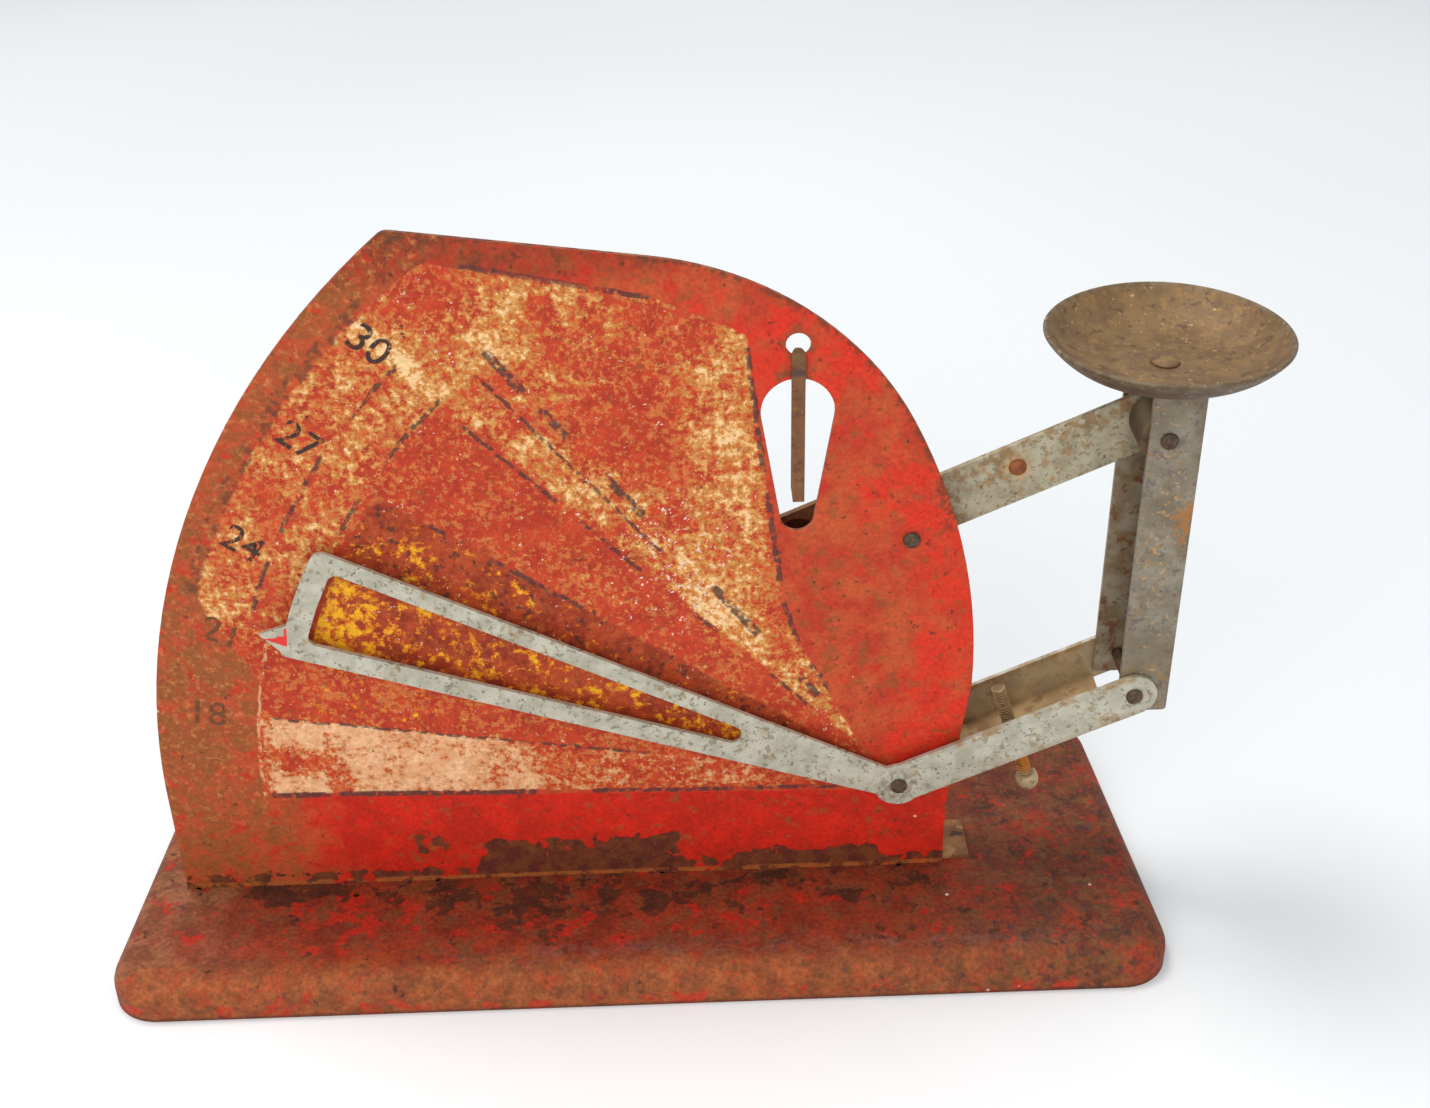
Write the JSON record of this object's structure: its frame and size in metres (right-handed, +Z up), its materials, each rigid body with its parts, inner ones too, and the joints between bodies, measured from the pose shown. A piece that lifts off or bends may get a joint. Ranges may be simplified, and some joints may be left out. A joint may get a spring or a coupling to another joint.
{
  "type": "egg scale",
  "caption": "Lever egg scale: tray base, upright dial plate with a level pendulum, and a parallel linkage that joins a windowed pointer to a dished pan.",
  "frame": {"origin": "on the table, at the middle of the space that the scale takes up at rest", "axes": "+X to the right along the dial plate, towards the pan; +Y from the dial's face to the back; +Z up"},
  "size_m": [0.191, 0.069, 0.1273],
  "materials": {
    "base_paint": "worn red paint, rusted",
    "dial_paint": "worn red paint with a faded printed dial",
    "bracket_steel": "rusty steel",
    "pin_steel": "dark, worn",
    "plated_steel": "dull plating with rust spots",
    "arm_steel": "tarnished",
    "rusty_rivet": "rusty",
    "screw_steel": "rusty thread, pale head",
    "cast_weight": "rough casting",
    "bushing_steel": "dark, oiled",
    "pan_steel": "tarnished and rusty",
    "strip_steel": "rusty"
  },
  "bodies": {
    "frame": {"base_tray": "base_paint", "dial_plate": "dial_paint", "rear_bracket": "bracket_steel", "bracket_rivets": "base_paint", "beam_pin": "pin_steel", "beam_spacer": "plated_steel", "beam_washers": "plated_steel", "link_pin": "pin_steel", "link_spacer": "plated_steel", "link_washer": "plated_steel"},
    "beam": {"pointer_beam": "plated_steel", "post_lower_pin": "pin_steel"},
    "screw": {"adjusting_screw": "screw_steel"},
    "link": {"upper_link": "plated_steel", "weight_arm": "arm_steel", "arm_rivet": "rusty_rivet", "counterweight": "cast_weight", "counterweight_rivet": "pin_steel"},
    "post": {"post_channel": "plated_steel", "post_upper_pin": "pin_steel", "post_bushing": "bushing_steel", "post_washer": "plated_steel", "egg_pan": "pan_steel", "pan_rivet": "pan_steel"},
    "pendulum": {"level_pendulum": "strip_steel"}
  },
  "joints": [
    {"name": "beam_pivot", "type": "hinge", "parent": "frame", "child": "beam", "pos_m": [0.03785, -0.0051, 0.0268], "axis": [0, 1, 0], "range_deg": [-16, 27]},
    {"name": "link_pivot", "type": "hinge", "parent": "frame", "child": "link", "pos_m": [0.03855, -0.0051, 0.0738], "axis": [0, 1, 0], "range_deg": [-16, 27]},
    {"name": "post_pivot", "type": "hinge", "parent": "beam", "child": "post", "pos_m": [0.07622, -0.0051, 0.04388], "axis": [0, 1, 0], "range_deg": [-27, 16]},
    {"name": "screw_adjust", "type": "slide", "parent": "beam", "child": "screw", "axis": [-0.309, 0, 0.9511], "range_m": [-0.0004, 0.009]},
    {"name": "pendulum_swing", "type": "hinge", "parent": "frame", "child": "pendulum", "pos_m": [0.02045, -0.00925, 0.10635], "axis": [0, 1, 0], "range_deg": [-12, 12]}
  ],
  "couplings": [
    {"joint": "link_pivot", "follows": "beam_pivot", "ratio": 1},
    {"joint": "post_pivot", "follows": "beam_pivot", "ratio": -1}
  ]
}
